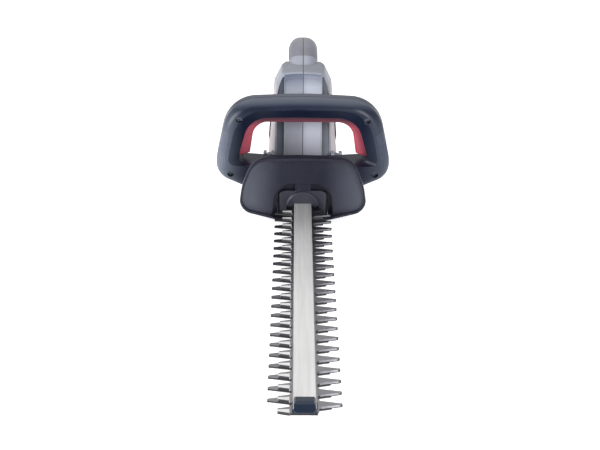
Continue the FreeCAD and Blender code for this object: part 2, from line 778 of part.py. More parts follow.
def guard():
    """Dished shield with a forward rim, and a collar that grips the gearbox's nose."""
    front = guard_y - guard_rim_depth - 5
    depth = 25.0
    outer = prism(guard_outline(), xz, front, depth)
    inner_wire = rounded_wire(guard_outline(), xz).makeOffset2D(-guard_rim)
    inner = Part.Face(inner_wire)
    inner.translate(V(0, front - 1, 0))
    inner = inner.extrude(V(0, depth + 2, 0))
    centre = V(0, guard_y - guard_dish_r, 40)
    dish_front = Part.makeSphere(guard_dish_r, centre)
    dish_back = Part.makeSphere(guard_dish_r + guard_plate, centre)
    plate = outer.common(dish_back).cut(dish_front)
    rim = outer.cut(inner).common(dish_back)
    shield = plate.fuse(rim).removeSplitter()
    collar = arch_outline(arch_half + collar_wall, arch_top + collar_wall, arch_floor - collar_wall, 25)
    collar = prism(collar, xz, guard_y - 1, collar_back - guard_y + 1)
    shield = shield.fuse(collar.cut(dish_front))
    arch = arch_outline(arch_half, arch_top, arch_floor, 23)
    shield = shield.cut(prism(arch, xz, front - 1, collar_back - collar_floor - front + 1))
    nose = mirrored([(gearbox_nose_half + 0.3, -2, 0), (gearbox_nose_half + 0.3, nose_top + 0.3, nose_corner)])
    shield = shield.cut(prism(nose, xz, gearbox_front - 1.0, 40))
    rib = box(-guard_rib_half, guard_rib_half, guard_y + 1.5, collar_back - 1, nose_top + 0.3, arch_top + 1)
    shield = shield.fuse(rib.cut(dish_front))
    for side in (-1, 1):
        shield = shield.cut(cyl_x(screw_r + 0.2, guard_screw_y, guard_screw_z, side * 20, side * 45))
    return shield.removeSplitter()


def guard_screws():
    screws = []
    outside = arch_half + collar_wall
    for side in (-1, 1):
        head = cyl_x(screw_head_r, guard_screw_y, guard_screw_z, side * outside, side * (outside + 2.2))
        shank = cyl_x(screw_r, guard_screw_y, guard_screw_z, side * (gearbox_nose_half - 8), side * outside)
        screws.append(fuse_all([head, shank]))
    return Part.makeCompound(screws)


# ---------------------------------------------------------------- front loop handle
def loop_outline(grow):
    """Outer outline of the loop, over the saddle on the body's base."""
    g = grow
    return mirrored([(0, 138.2 + g, 700), (93.2 + g, 134.0 + g, 44 + g), (109.0 + g, 60.0, 60), (108.6 + g, 37.5 - g, 24 + g),
                     (69.0, 19.8 - g, 20), (52.0 - g, 19.8 - g, 5), (48.0 - g, saddle_z - g, 3)])


def lip_outline(grow, drop):
    """Outline of the loop's opening, grown at its top and sides and dropped at its foot."""
    g = grow
    return mirrored([(0, 114.2 + g, 900), (66.8 + g, 113.2 + g, 30 + g), (80.0 + g, 66.0, 40), (80.6 + g, 54.5 - drop, 7),
                     (30.0, 51.0 - drop, 30)])


def bar_outline():
    """The U-shaped switch bar, seen from the front."""
    outer = [(0, 118.0, 900), (70.0, 117.4, 34), (83.2, 66.0, 40), (83.0, 57.5, 1.5)]
    inner = [(66.8, 63.6, 1.5), (60.9, 104.0, 20)]
    right = outer + inner
    left = [(-a, b, r) for a, b, r in reversed(right) if a > 0]
    return right + left


def switch_bar():
    bar = prism(bar_outline(), xz, bar_front, bar_back - bar_front)
    edges = [e for e in bar.Edges if is_inner_bar_edge(e)]
    return bar.makeFillet(2.0, edges)


def is_inner_bar_edge(edge):
    """True for the front and back edges of the bar's inner face."""
    middle = edge.valueAt((edge.FirstParameter + edge.LastParameter) / 2)
    on_face = abs(middle.y - bar_front) < 1e-6 or abs(middle.y - bar_back) < 1e-6
    return on_face and abs(middle.x) < 66.7 and 64.5 < middle.z < 105


def bar_slot():
    """Room for the bar over its whole travel, open towards the middle of the loop."""
    g = bar_slot_gap
    reach = mirrored([(0, 118.0 + g + bar_travel, 900), (70.0 + g, 117.4 + g + bar_travel, 34), (83.2 + g, 73.0, 40),
                      (83.2 + g, 57.0 - g, 1.5), (66.0, 60.0, 0)])
    return prism(reach, xz, bar_front - g, bar_back - bar_front + 2 * g)


def loop_body():
    """The closed loop before it is split into its two shells."""
    depth = loop_back - loop_front
    ring = prism(loop_outline(0), xz, loop_front, depth)
    outer_edges = [e for e in ring.Edges if is_on_end_face(e) and not is_saddle_edge(e)]
    ring = ring.makeFillet(loop_round, outer_edges)
    ring = ring.cut(prism(lip_outline(0, 0), xz, loop_front - 1, depth + 2))
    wide = rounded_wire(lip_outline(lip_slope_width, 1.0), xz)
    wide.translate(V(0, loop_front - 0.01, 0))
    narrow = rounded_wire(lip_outline(0, 0), xz)
    narrow.translate(V(0, loop_front + lip_slope_depth, 0))
    ring = ring.cut(Part.makeLoft([wide, narrow], True, True))
    groove = prism(loop_outline(5), xz, loop_seam - seam_groove / 2, seam_groove)
    groove = groove.cut(prism(loop_outline(-seam_groove), xz, loop_seam - seam_groove, 2 * seam_groove))
    return ring.cut(groove)


def is_on_end_face(edge):
    middle = edge.valueAt((edge.FirstParameter + edge.LastParameter) / 2)
    return abs(middle.y - loop_front) < 1e-6 or abs(middle.y - loop_back) < 1e-6


def is_saddle_edge(edge):
    middle = edge.valueAt((edge.FirstParameter + edge.LastParameter) / 2)
    return middle.z < 45 and abs(middle.x) < 62


def loop_cavity():
    """Hollow inside the loop's two shells."""
    y0 = loop_front + loop_wall
    y1 = loop_back - loop_wall
    outer = mirrored([(0, 130.5, 700), (86.0, 126.5, 37), (101.5, 60.0, 55), (101.0, 40.0, 18), (72.0, 27.5, 15),
                      (58.0, 27.5, 3), (55.0, 44.0, 3)])
    inner = prism(lip_outline(5, 5), xz, y0 - 1, y1 - y0 + 2)
    return prism(outer, xz, y0, y1 - y0).cut(inner)


def handle_screw_places():
    places = []
    for side in (-1, 1):
        places.append((side * 79.0, 112.5))
        places.append((side * 90.5, 41.5))
    return places


def loop_shell(is_front):
    shell = loop_body().cut(loop_cavity()).cut(bar_slot())
    if is_front:
        shell = shell.common(box(-200, 200, loop_front - 1, loop_seam, -10, 200))
    else:
        shell = shell.common(box(-200, 200, loop_seam, loop_back + 1, -10, 200))
    for x, z in handle_screw_places():
        boss = cyl_y(5.5, x, z, loop_front + 6, loop_back - 4)
        if is_front:
            boss = boss.common(box(-200, 200, loop_front, loop_seam, -10, 200))
        else:
            boss = boss.common(box(-200, 200, loop_seam, loop_back, -10, 200))
        boss = boss.common(loop_body())
        shell = shell.fuse(boss)
        shell = shell.cut(cyl_y(screw_r, x, z, loop_front - 1, loop_back - 6))
        if is_front:
            shell = shell.cut(cyl_y(screw_head_r + 0.5, x, z, loop_front - 1, loop_front + 9))
    shell = shell.cut(bar_slot())
    for side in (-1, 1):
        shell = shell.cut(cyl_y(screw_r, side * clamp_x, clamp_z, loop_back - 4, loop_back + 1))
    return shell.removeSplitter()


def handle_screws():
    screws = []
    for x, z in handle_screw_places():
        head = cyl_y(screw_head_r, x, z, loop_front + 6.8, loop_front + 9)
        shank = cyl_y(screw_r, x, z, loop_front + 9, loop_back - 7)
        cross = box(x - 0.45, x + 0.45, loop_front + 6, loop_front + 8.2, z - 2, z + 2)
        cross = cross.fuse(box(x - 2, x + 2, loop_front + 6, loop_front + 8.2, z - 0.45, z + 0.45))
        screws.append(fuse_all([head, shank]).cut(cross))
    return Part.makeCompound(screws)


def bar_springs():
    """Two coil springs that push the switch bar down, as sleeves of their outer size."""
    y = (bar_front + bar_back) / 2
    return Part.makeCompound([tube_z(3.0, 2.2, side * 30.0, y, 118.2, 128.5) for side in (-1, 1)])


def front_switch():
    """Snap switch over the middle of the bar."""
    y = (bar_front + bar_back) / 2
    return box(-8, 8, y - 3.5, y + 3.5, 124.2, 129.5)


def handle_clamps():
    """Forked grey clamps at the body's sides that hold the loop's foot."""
    clamps = []
    back = loop_back + clamp_depth
    for side in (-1, 1):
        x0 = side * clamp_x - clamp_half
        x1 = side * clamp_x + clamp_half
        clamp = box(x0, x1, loop_back, back, saddle_z, clamp_top)
        clamp = clamp.cut(box(x0 + 4.0, x1 - 4.0, loop_back - 1, back + 1, clamp_top - 3.5, clamp_top + 1))
        clamp = clamp.cut(body_loft(-0.05, 0))
        clamps.append(clamp.cut(cyl_y(screw_r, side * clamp_x, clamp_z, loop_back - 1, loop_back + 12)))
    return Part.makeCompound(clamps)


def clamp_screws():
    screws = []
    for side in (-1, 1):
        head = cyl_y(screw_head_r, side * clamp_x, clamp_z, loop_back + clamp_depth, loop_back + clamp_depth + 2.2)
        shank = cyl_y(screw_r, side * clamp_x, clamp_z, loop_back - 3.5, loop_back + clamp_depth)
        screws.append(fuse_all([head, shank]))
    return Part.makeCompound(screws)


# ---------------------------------------------------------------- body
def plan_ring(front_half, front_y, side_half, side_y, back_side_y, back_half, back_y, z):
    """Closed nine-sided plan section of the body at a height, with a crease down its front."""
    points = [V(-front_half, front_y, z), V(0, front_y - front_crease, z), V(front_half, front_y, z),
              V(side_half, side_y, z), V(side_half, back_side_y, z),
              V(back_half, back_y, z), V(-back_half, back_y, z), V(-side_half, back_side_y, z), V(-side_half, side_y, z)]
    return Part.makePolygon(points + points[:1])


def body_loft(inset, front_inset):
    """Upright part of the body over the motor, leaning back at its front."""
    i = inset
    f = front_inset
    low = plan_ring(36 - i, -7.7 + f, base_half - i, 32 + f, 100 - i, 32 - i, base_back - 1.5 - i, 36)
    shoulder = plan_ring(35.0 - i, 23.0 + f, 38 - i, 44 + f, 88 - i, 30 - i, 106 - i, 123)
    top = plan_ring(24 - i, 31.5 + f, 26.5 - i, 40 + f, 76 - i, 23 - i, 84 - i, deck_z - i)
    loft = Part.makeLoft([low, shoulder, top], True, True)
    crown = cyl_y(deck_crown_r - i, 0, deck_z - deck_crown_r, -60, 200)
    return loft.common(crown.fuse(box(-80, 80, -60, 200, 0, 120)))


def base_form(inset, z0, z1, front):
    i = inset
    plan = mirrored([(base_half - i, front, 3), (base_half - i, 100, 12), (36 - i, base_back - i, 10)])
    return prism(plan, xy, z0, z1 - z0)


def handle_path():
    points = [(50.0, 110.0, 0), (96.0, 159.0, 50), (214.0, 127.5, 36), (227.0, 19.0, 34), (112.0, 19.0, 0)]
    return rounded_wire(points, yz, closed=False)


def handle_sweep(inset):
    """The rear handle's tube, swept along its path."""
    path = handle_path()
    start = path.Edges[0].valueAt(path.Edges[0].FirstParameter)
    direction = path.Edges[0].tangentAt(path.Edges[0].FirstParameter)
    w = grip_width / 2 - inset
    h = grip_height / 2 - inset
    r = grip_corner - inset
    section = rounded_wire([(w, h, r), (w, -h, r), (-w, -h, r), (-w, h, r)], xy)
    turn = FreeCAD.Rotation(Z_AXIS, direction)
    placed = section.copy()
    placed.Placement = FreeCAD.Placement(start, turn)
    return path.makePipeShell([placed], True, False)


def outer_form():
    """Outside of the whole body and rear handle, before it is hollowed and split."""
    loft = body_loft(0, 0)
    loft = loft.makeFillet(5.0, [e for e in loft.Edges if is_soft_body_edge(e)])
    base = base_form(0, 0, saddle_z, base_front)
    rim = [e for e in base.Edges if abs(e.CenterOfMass.z - saddle_z) < 1e-6 and e.CenterOfMass.y < 60]
    base = base.makeFillet(3.0, rim)
    return fuse_all([loft, base, handle_sweep(0)])


def is_soft_body_edge(edge):
    """Rounded edges of the body: all that rise, and those round the deck."""
    middle = edge.CenterOfMass
    crease = abs(middle.x) < 1 and middle.y < 40
    return middle.z > 41 and not crease


def boss_places():
    """Screw bosses of the clamshell, as (y, z) and the depth of the head's recess."""
    return [(70.0, 62.0), (70.0, 122.0), (112.0, 20.0), (205.0, 118.0), (226.0, 60.0), (190.0, 19.0), (100.0, 152.0)]


def housing():
    outer = outer_form()
    cavity = body_loft(body_wall, flank_recess + body_wall)
    cavity = cavity.fuse(base_form(body_wall, -1, saddle_z - body_wall, base_front - 1).common(
        box(-60, 60, base_front - 5, gearbox_back + 1, -2, 60)))
    cavity = cavity.fuse(base_form(body_wall, body_wall, 44, gearbox_back))
    cavity = cavity.fuse(handle_sweep(grip_wall))
    shell = outer.cut(cavity)
    for y, z in boss_places():
        shell = shell.fuse(cyl_x(boss_r, y, z, -60, 60).common(outer))
    shell = shell.fuse(cyl_x(boss_r, trigger_pivot_y, trigger_pivot_z, -60, 60).common(outer))
    shell = shell.cut(flank_recesses(0, flank_recess))
    shell = shell.cut(panel_recess())
    shell = shell.cut(handle_foot_groove())
    shell = shell.cut(grip_inlay_form())
    for y, z in boss_places():
        shell = shell.cut(cyl_x(screw_r, y, z, -12, 60))
        shell = shell.cut(cyl_x(screw_head_r + 0.3, y, z, 10, 60))
    shell = shell.cut(trigger_slot())
    shell = shell.cut(trigger_pin())
    shell = shell.cut(cyl_y(gland_seat_r, 0, gland_z, 225, 260))
    for cutter in vent_slots():
        shell = shell.cut(cutter)
    return shell


def vent_slots():
    """Air inlets in the body's two sides, leaning with its front."""
    cutters = []
    for k in range(7):
        y = 52.0 + 6.5 * k
        slot = box(-60, 60, y, y + 3.0, 62, 100 - 2.5 * k)
        slot = slot.cut(box(-34, 34, y - 1, y + 4, 50, 120))
        cutters.append(slot)
    return cutters


def flank_region():
    """Front-view region of the two dark flanks beside the central panel."""
    pieces = []
    for side in (-1, 1):
        points = [(panel_half, 43.0, 0), (33.8, 43.0, 0), (33.4, 121.5, 0), (30.5, 133.0, 0), (26.0, 143.0, 0),
                  (panel_half, 143.0, 0)]
        pieces.append(prism([(side * a, b, r) for a, b, r in points], xz, -30, 80))
    return Part.makeCompound(pieces)


def flank_recesses(start, end):
    """A skin of the leaning front, between two depths, inside the flank regions."""
    front = body_loft(0, start)
    back = body_loft(0, end)
    skin = front.cut(back).common(flank_region())
    return skin


def panel_recess():
    """The shallow field of the central panel, arched at its top."""
    field = mirrored([(0, 143.5, 120), (panel_half - 1.2, 140.0, 5), (panel_half - 1.2, 43.0, 0)])
    skin = body_loft(0, -3).cut(body_loft(0, panel_depth))
    return skin.common(prism(field, xz, -30, 74))


def handle_foot_groove():
    """A fine line round the foot of the handle, in the skin of the deck."""
    ring = handle_sweep(-foot_groove).cut(handle_sweep(0))
    ring = ring.common(box(-60, 60, 40, 92, 130, 170))
    return ring.cut(body_loft(foot_groove_depth, foot_groove_depth))


def flanks():
    skin = flank_recesses(flank_recess - flank_thick, flank_recess)
    return skin.common(box(-60, 60, -30, 44, 40, 145))


def grip_inlay_form():
    """Overmoulded soft skin on the upper grip."""
    skin = handle_sweep(-0.2).cut(handle_sweep(inlay_thick))
    start = V(0, 76.0, 157.0)
    along = V(0, 0.683, 0.730)
    ahead = Part.makeBox(200, 200, 200, V(-100, -100, 0))
    ahead.Placement = FreeCAD.Placement(start, FreeCAD.Rotation(Z_AXIS, along))
    skin = skin.common(ahead)
    side = [(70, 143.0, 0), (120.0, 143.0, 30), (207, 120.4, 0), (207, 200, 0), (70, 200, 0)]
    return skin.common(prism(side, yz, -30, 60))


def grip_inlay(side):
    pad = grip_inlay_form().common(handle_sweep(0))
    return half(pad, side)


def trigger_slot():
    half_width = trigger_half + trigger_gap
    return box(-half_width, half_width, 116.0, 182.0, 100, 142)


def trigger():
    """Rear trigger: a lever that hinges at its front end and hangs under the grip."""
    profile = [(117.5, 140.0, 4), (128.0, 141.0, 3), (172.0, 124.0, 2), (180.0, 121.5, 2), (180.5, 115.0, 3),
               (160.0, 113.5, 14), (140.0, 116.5, 14), (124.0, 121.0, 6), (117.5, 128.0, 5)]
    lever = prism(profile, yz, -trigger_half, 2 * trigger_half)
    return lever.cut(cyl_x(trigger_pin_r + pin_running_gap, trigger_pivot_y, trigger_pivot_z, -20, 20))


def trigger_pin():
    return cyl_x(trigger_pin_r, trigger_pivot_y, trigger_pivot_z, -trigger_pin_reach, trigger_pin_reach)


def rear_switch():
    """Main switch in the grip, over the trigger's tail."""
    case = box(-8, 8, 146, 172, 139.0, 148.0)
    return case.fuse(cyl_z(2.0, 0, 165.0, 132.0, 139.0)).removeSplitter()


def cord_gland():
    """Rubber bush where the mains lead enters the handle's end."""
    flange = cyl_y(10.0, 0, gland_z, 243.5, 247.0)
    sleeve = cyl_y(gland_seat_r, 0, gland_z, 232.0, 243.5)
    nose = Part.makeCone(8.0, 6.0, 12.0, V(0, 247.0, gland_z), Y_AXIS)
    bush = fuse_all([flange, sleeve, nose])
    return bush.cut(cyl_y(gland_bore_r, 0, gland_z, 230, 262))


def terminal_block():
    return box(-7, 7, 150, 170, 13, 25)


def suppressor():
    body = box(-8, 8, 84, 98, 60, 84)
    return body.makeFillet(2.0, body.Edges)


def housing_screws():
    screws = []
    for y, z in boss_places():
        head = cyl_x(screw_head_r, y, z, 10, 12.4)
        shank = cyl_x(screw_r, y, z, -11.5, 10)
        cross = box(11.4, 13, y - 0.45, y + 0.45, z - 2, z + 2)
        cross = cross.fuse(box(11.4, 13, y - 2, y + 2, z - 0.45, z + 0.45))
        screws.append(fuse_all([head, shank]).cut(cross))
    return Part.makeCompound(screws)


# ---------------------------------------------------------------- build
os.makedirs("parts", exist_ok=True)
blade = upper_blade()
export("upper_blade", blade)
export("lower_blade", lower_blade(blade))
export("support_bar", support_bar())
export("blade_studs", blade_studs())
export("bar_bolts", bar_bolts())
export("tip_protector", tip_protector())
export("drive_gear", drive_gear())
export("upper_eccentric", upper_eccentric())
export("lower_eccentric", lower_eccentric())
export("gear_bush", gear_bush())
export("gear_pin", gear_pin())
export("gearbox_housing", gearbox_housing())
export("gearbox_cover", gearbox_cover())
export("cover_screws", cover_screws())
export("pinion", pinion())
export("motor_shaft", motor_shaft())
export("lower_bearing", lower_bearing())
export("upper_bearing", upper_bearing())
export("stator", stator())
export("field_coils", field_coils())
export("armature", armature())
export("armature_windings", armature_windings())
export("commutator", commutator())
export("carbon_brushes", carbon_brushes())
export("brush_holders", brush_holders())
export("fan", fan())
export("motor_bracket", motor_bracket())
export("guard", guard())
export("guard_screws", guard_screws())
export("handle_front_shell", loop_shell(True))
export("handle_rear_shell", loop_shell(False))
export("switch_bar", switch_bar())
export("handle_screws", handle_screws())
export("bar_springs", bar_springs())
export("front_switch", front_switch())
export("handle_clamps", handle_clamps())
export("clamp_screws", clamp_screws())
whole = housing()
export("housing_left", half(whole, -1))
export("housing_right", half(whole, 1))
export("flanks", flanks())
export("grip_left", grip_inlay(-1))
export("grip_right", grip_inlay(1))
export("trigger", trigger())
export("trigger_pin", trigger_pin())
export("rear_switch", rear_switch())
export("cord_gland", cord_gland())
export("terminal_block", terminal_block())
export("suppressor", suppressor())
export("housing_screws", housing_screws())
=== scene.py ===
import json
import math

import bmesh
import bpy
from mathutils import Matrix, Vector
from mathutils.bvhtree import BVHTree


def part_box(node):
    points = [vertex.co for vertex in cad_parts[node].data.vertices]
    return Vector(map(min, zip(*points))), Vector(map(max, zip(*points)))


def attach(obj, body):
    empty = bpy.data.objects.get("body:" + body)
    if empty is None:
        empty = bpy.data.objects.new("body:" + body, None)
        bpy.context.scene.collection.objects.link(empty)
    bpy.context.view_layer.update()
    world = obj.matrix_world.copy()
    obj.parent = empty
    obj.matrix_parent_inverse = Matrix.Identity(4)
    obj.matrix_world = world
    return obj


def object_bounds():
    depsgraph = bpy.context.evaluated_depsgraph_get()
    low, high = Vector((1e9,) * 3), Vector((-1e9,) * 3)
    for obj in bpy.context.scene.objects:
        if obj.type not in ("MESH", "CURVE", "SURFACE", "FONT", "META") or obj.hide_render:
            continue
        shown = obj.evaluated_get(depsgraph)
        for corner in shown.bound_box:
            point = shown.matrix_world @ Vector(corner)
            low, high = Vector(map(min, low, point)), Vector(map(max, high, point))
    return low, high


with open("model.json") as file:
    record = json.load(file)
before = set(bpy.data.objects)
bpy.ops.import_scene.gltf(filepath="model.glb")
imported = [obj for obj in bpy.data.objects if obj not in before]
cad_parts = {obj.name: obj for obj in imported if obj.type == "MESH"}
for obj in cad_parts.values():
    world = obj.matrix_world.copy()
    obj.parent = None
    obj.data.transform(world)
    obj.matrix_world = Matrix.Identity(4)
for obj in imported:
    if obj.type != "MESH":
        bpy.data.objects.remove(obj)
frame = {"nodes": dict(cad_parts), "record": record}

cad_low, cad_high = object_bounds()
MM = 0.001

# ---------------------------------------------------------------- places that the looks follow
# dark lines: where two halves meet, and round the grip's inlay
CENTRE_LINE_HALF = 0.45 * MM
GRIP_LINE_INNER, GRIP_LINE_OUTER = 17.6 * MM, 18.9 * MM

# teeth: where they start and end aside, and what is ground off their width; these place the painted highlight
# on the short teeth
TOOTH_PITCH, FIRST_TOOTH_Y = 20.0 * MM, -555.0 * MM
TOOTH_ROOT_HALF, TOOTH_TIP_HALF = 6.2 * MM, 3.7 * MM
TOOTH_ROOT_X, TOOTH_TIP_X = 14.0 * MM, 24.5 * MM
TOOTH_ROOT_BEVEL, TOOTH_TIP_BEVEL = 1.6 * MM, 1.5 * MM
SHORT_TEETH_X = -13.6 * MM                      # short teeth stand to the left of this
UPPER_BLADE_Z = 17.5 * MM                       # only the upper blade's top face is above this
# the blade's top gets painted shade from BLADE_PALE_Y, deepest at BLADE_DARK_Y
BLADE_PALE_Y, BLADE_DARK_Y = -500.0 * MM, -250.0 * MM

# hood's central panel: its outline, where the painted light on its right half starts, and the painted shade
# under its arch and at its foot
PANEL_HALF, PANEL_BACK_Y = 24.4 * MM, 42.0 * MM
PANEL_MIDDLE_FROM, PANEL_MIDDLE_TO = -3.0 * MM, 6.0 * MM
ARCH_CURVE = 6.6                                # the arch's shade drops by this times x squared, in metres
ARCH_LOW, ARCH_HIGH = 126.0 * MM, 147.0 * MM
# painted shade at the panel's foot fades out between these heights
FOOT_LOW, FOOT_HIGH = 50.0 * MM, 82.0 * MM

# body's sides: a painted reflection up each side behind the loop's foot, and the painted shade across the
# inlays beside the panel
REFLECTION_X, REFLECTION_FRONT_Y, REFLECTION_BACK_Y = 34.5 * MM, 6.0 * MM, 44.0 * MM
# painted shade across the inlays fades out between these distances aside
FLANK_INNER, FLANK_OUTER = 26.0 * MM, 36.0 * MM

# switch bar's painted shade inside the loop; painted sheen on the loop and guard from left to right, kept off
# the guard's front face; and the painted highlight on the loop's upper band
BAR_SHADE_LOW, BAR_SHADE_HIGH = 98.0 * MM, 107.0 * MM
SIDE_LEFT, SIDE_RIGHT = -60.0 * MM, 60.0 * MM
GUARD_FRONT_Y, GUARD_RIM_Y = -109.0 * MM, -106.0 * MM
BAND_LOW, BAND_HIGH = 70.0 * MM, 115.0 * MM

# heights of bump, in metres
HAIRLINE, FINE, GRAIN, PEBBLE = 0.00001, 0.00002, 0.00003, 0.00006
SAND, DENTS, STRANDS = 0.0001, 0.0002, 0.0002


# ---------------------------------------------------------------- node helpers
class Tree:
    """A material with short ways to add and join its nodes. Noise scales are per metre."""

    def __init__(self, name):
        self.material = bpy.data.materials.new(name)
        self.material.use_nodes = True
        self.nodes = self.material.node_tree.nodes
        self.links = self.material.node_tree.links
        self.shader = self.nodes["Principled BSDF"]
        self.coords = self.nodes.new("ShaderNodeTexCoord").outputs["Object"]

    def join(self, source, target):
        self.links.new(source, target)

    def feed(self, socket, value):
        """Link a value that changes over the surface, or set one that is the same all over."""
        if isinstance(value, bpy.types.NodeSocket):
            self.join(value, socket)
        else:
            socket.default_value = value

    def surface(self, name, value):
        self.feed(self.shader.inputs[name], value)

    def mapped(self, scale):
        node = self.nodes.new("ShaderNodeMapping")
        node.inputs["Scale"].default_value = scale
        self.join(self.coords, node.inputs["Vector"])
        return node.outputs["Vector"]

    def noise(self, scale, detail=3.0, roughness=0.55, vector=None):
        node = self.nodes.new("ShaderNodeTexNoise")
        node.inputs["Scale"].default_value = scale
        node.inputs["Detail"].default_value = detail
        node.inputs["Roughness"].default_value = roughness
        self.join(vector or self.coords, node.inputs["Vector"])
        return node.outputs["Fac"]

    def cells(self, scale):
        node = self.nodes.new("ShaderNodeTexVoronoi")
        node.inputs["Scale"].default_value = scale
        self.join(self.coords, node.inputs["Vector"])
        return node.outputs["Distance"]

    def spread(self, value, low, high, to_low=0.0, to_high=1.0):
        node = self.nodes.new("ShaderNodeMapRange")
        self.feed(node.inputs["Value"], value)
        node.inputs["From Min"].default_value = low
        node.inputs["From Max"].default_value = high
        node.inputs["To Min"].default_value = to_low
        node.inputs["To Max"].default_value = to_high
        return node.outputs["Result"]

    def math(self, operation, first, second=0.0):
        node = self.nodes.new("ShaderNodeMath")
        node.operation = operation
        self.feed(node.inputs[0], first)
        self.feed(node.inputs[1], second)
        return node.outputs[0]

    def times(self, first, *others):
        for other in others:
            first = self.math("MULTIPLY", first, other)
        return first

    def above(self, value, limit):
        return self.math("GREATER_THAN", value, limit)

    def below(self, value, limit):
        return self.math("LESS_THAN", value, limit)

    def blend(self, factor, first, second):
        node = self.nodes.new("ShaderNodeMix")
        node.data_type = "RGBA"
        self.feed(node.inputs[0], factor)
        self.feed(node.inputs[6], first)
        self.feed(node.inputs[7], second)
        return node.outputs[2]

    def parts_of(self, vector):
        node = self.nodes.new("ShaderNodeSeparateXYZ")
        self.join(vector, node.inputs[0])
        return node.outputs

    def position(self):
        """x, y and z of the place on the object, and how far it is from the middle."""
        x, y, z = self.parts_of(self.coords)
        return x, y, z, self.math("ABSOLUTE", x)

    def lift(self, normal="Normal"):
        """1 on faces that look up, 0 on upright ones, -1 underneath."""
        geometry = self.nodes.new("ShaderNodeNewGeometry")
        return self.parts_of(geometry.outputs[normal])[2]

    def rounded(self, radius):
        bevel = self.nodes.new("ShaderNodeBevel")
        bevel.samples = 4
        bevel.inputs["Radius"].default_value = radius
        return bevel.outputs["Normal"]

    def edge(self, radius):
        """1 on edges and corners, 0 on flat places."""
        geometry = self.nodes.new("ShaderNodeNewGeometry")
        dot = self.nodes.new("ShaderNodeVectorMath")
        dot.operation = "DOT_PRODUCT"
        self.join(self.rounded(radius), dot.inputs[0])
        self.join(geometry.outputs["Normal"], dot.inputs[1])
        turn = self.math("SUBTRACT", 1.0, dot.outputs["Value"])
        return self.spread(turn, 0.01, 0.10)

    def rubbed(self, radius, patch):
        """Edges that hands and cloths have worn, here and there."""
        return self.times(self.edge(radius), self.spread(patch, 0.35, 0.7))

    def mottled(self, value, colour, darker, lighter):
        """A colour that drifts between a darker and a lighter one."""
        return self.blend(self.spread(value, 0.35, 0.65), tinted(colour, darker), tinted(colour, lighter))

    def patchy(self, broad, patch, low, high):
        """Roughness of a moulding, between low and high."""
        both = self.math("ADD", broad, self.times(patch, 0.5))
        return self.spread(both, 0.45, 1.05, low, high)

    def streaky(self, brushed, broad, low, high):
        """Roughness of brushed metal, between low and high."""
        both = self.math("ADD", brushed, self.times(broad, 0.4))
        return self.spread(both, 0.4, 1.0, low, high)

    def relief(self, layers, rounding=0.0):
        """Bump from (noise, strength, height) layers over edges rounded for light."""
        normal = self.rounded(rounding) if rounding > 0 else None
        for height, strength, distance in layers:
            node = self.nodes.new("ShaderNodeBump")
            node.inputs["Strength"].default_value = strength
            node.inputs["Distance"].default_value = distance
            self.join(height, node.inputs["Height"])
            if normal is not None:
                self.join(normal, node.inputs["Normal"])
            normal = node.outputs["Normal"]
        self.join(normal, self.shader.inputs["Normal"])


def rgb(r, g, b):
    return (r, g, b, 1.0)


def tinted(colour, factor):
    return tuple(min(1.0, c * factor) for c in colour[:3]) + (1.0,)


# ---------------------------------------------------------------- materials
def moulded(name, colour, roughness, grain_strength=0.35, specular=0.5, wear=1.35, coat=0.0,
            edge_radius=0.0005):
    """Injection-moulded plastic: fine spark-eroded grain, slight mottling, rubbed edges, a little dust."""
    t = Tree(name)
    grain = 2600.0
    broad = t.noise(22.0, 4.0)
    patch = t.noise(95.0, 5.0, 0.6)
    fine = t.noise(grain, 2.0, 0.6)
    pits = t.cells(grain * 0.55)
    rubbed = t.rubbed(0.0009, patch)
    dusty = t.times(t.spread(patch, 0.56, 0.78), 0.06)
    base = t.mottled(broad, colour, 0.90, 1.10)
    base = t.blend(t.times(rubbed, 0.55), base, tinted(colour, wear))
    base = t.blend(dusty, base, tinted(colour, 2.2))
    rough = t.patchy(broad, patch, roughness - 0.05, roughness + 0.07)
    t.surface("Base Color", base)
    t.surface("Roughness", t.math("SUBTRACT", rough, t.times(rubbed, 0.10)))
    t.surface("Specular IOR Level", specular)
    t.surface("Coat Weight", coat)
    t.surface("Coat Roughness", 0.25)
    t.relief([(pits, grain_strength, GRAIN), (fine, grain_strength, GRAIN), (patch, 0.06, DENTS)],
             edge_radius)
    return t.material


def soft_rubber(name, colour):
    """Overmoulded rubber with a fine leather-like pebble and a soft bloom, dark where its halves meet."""
    t = Tree(name)
    broad = t.noise(30.0, 4.0)
    pebble = t.cells(1250.0)
    fine = t.noise(3200.0, 2.0)
    aside = t.position()[3]
    halves_meet = t.below(aside, CENTRE_LINE_HALF)
    line = t.math("MAXIMUM", halves_meet, t.spread(aside, GRIP_LINE_INNER, GRIP_LINE_OUTER))
    base = t.mottled(broad, colour, 0.86, 1.12)
    base = t.blend(t.times(t.edge(0.0008), 0.35), base, tinted(colour, 1.5))
    base = t.blend(t.times(line, 0.85), base, rgb(0.020, 0.020, 0.028))
    t.surface("Base Color", base)
    t.surface("Roughness", t.spread(broad, 0.3, 0.7, 0.62, 0.76))
    t.surface("Sheen Weight", 0.18)
    t.relief([(pebble, 0.5, PEBBLE), (fine, 0.25, FINE)], 0.0005)
    return t.material


